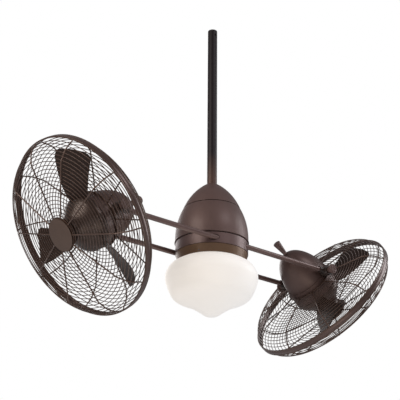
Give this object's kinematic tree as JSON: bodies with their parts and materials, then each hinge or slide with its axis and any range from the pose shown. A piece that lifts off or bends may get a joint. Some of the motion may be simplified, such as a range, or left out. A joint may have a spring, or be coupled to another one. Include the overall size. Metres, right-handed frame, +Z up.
{
  "type": "twin head ceiling fan",
  "caption": "Ceiling fan with two caged fan heads on a slowly turning pair of arms, a domed motor housing on a downrod and an opal glass light below.",
  "frame": {"origin": "centre of the downrod's top end face", "axes": "+Z up along the downrod, +X along the two arms to the right-hand head, -Y towards the viewer of the picture"},
  "size_m": [1.0358, 0.4214, 0.8589],
  "materials": {
    "bronze": "oil-rubbed bronze lacquer, satin, brown with a warm sheen",
    "dark_bronze": "dark bronze lacquer on wire and castings",
    "steel": "ground steel shafts, pins, races and balls",
    "laminations": "stacked motor laminations with varnished copper",
    "contact_brass": "slip ring tracks",
    "insulator": "moulded insulating plastic",
    "opal_glass": "white opal glass, smooth outside",
    "blade": "pressed metal blades in bronze lacquer"
  },
  "bodies": {
    "fixed_body": {"downrod": "bronze", "rod_coupling": "dark_bronze", "coupling_pin": "steel", "top_cap": "bronze", "motor_housing": "bronze", "housing_plate": "dark_bronze", "center_shaft": "steel", "drive_stator": "laminations", "fixed_race": "steel", "thrust_balls": "steel", "brush_block": "insulator", "light_fitter": "bronze", "fitter_plate": "bronze", "fitter_screws": "dark_bronze", "lamp_holder": "insulator", "bulb": "opal_glass", "glass_globe": "opal_glass"},
    "arm_frame": {"swivel_band": "bronze", "arm_carrier": "dark_bronze", "arm_clamps": "dark_bronze", "front_arm": "bronze", "rear_arm": "bronze", "arm_knuckles": "bronze", "tilt_knobs": "bronze", "turning_race": "steel", "drive_rotor": "steel", "slip_ring": "contact_brass"},
    "left_head": {"left_dome": "bronze", "left_knob": "bronze", "left_motor_can": "bronze", "left_can_cover": "dark_bronze", "left_stator": "laminations", "left_bearings": "steel", "left_trunnions": "steel", "left_rear_guard": "dark_bronze", "left_rear_rings": "dark_bronze", "left_hoop": "bronze", "left_front_guard": "dark_bronze", "left_front_rings": "dark_bronze", "left_cap_disc": "bronze"},
    "left_rotor": {"left_spindle": "steel", "left_hub": "dark_bronze", "left_blades": "blade"},
    "right_head": {"right_dome": "bronze", "right_knob": "bronze", "right_motor_can": "bronze", "right_can_cover": "dark_bronze", "right_stator": "laminations", "right_bearings": "steel", "right_trunnions": "steel", "right_rear_guard": "dark_bronze", "right_rear_rings": "dark_bronze", "right_hoop": "bronze", "right_front_guard": "dark_bronze", "right_front_rings": "dark_bronze", "right_cap_disc": "bronze"},
    "right_rotor": {"right_spindle": "steel", "right_hub": "dark_bronze", "right_blades": "blade"}
  },
  "joints": [
    {"name": "band_turn", "type": "hinge", "parent": "fixed_body", "child": "arm_frame", "pos_m": [0, 0, -0.6415], "axis": [0, 0, 1], "continuous": true},
    {"name": "left_tilt", "type": "hinge", "parent": "arm_frame", "child": "left_head", "pos_m": [-0.3249, 0, -0.6415], "axis": [0, 1, 0], "range_deg": [-45, 35]},
    {"name": "left_spin", "type": "hinge", "parent": "left_head", "child": "left_rotor", "pos_m": [-0.35767, 0, -0.66444], "axis": [-0.8192, 0, -0.5736], "continuous": true},
    {"name": "right_tilt", "type": "hinge", "parent": "arm_frame", "child": "right_head", "pos_m": [0.3249, 0, -0.6415], "axis": [0, -1, 0], "range_deg": [-45, 35]},
    {"name": "right_spin", "type": "hinge", "parent": "right_head", "child": "right_rotor", "pos_m": [0.35767, 0, -0.66444], "axis": [0.8192, 0, -0.5736], "continuous": true}
  ]
}
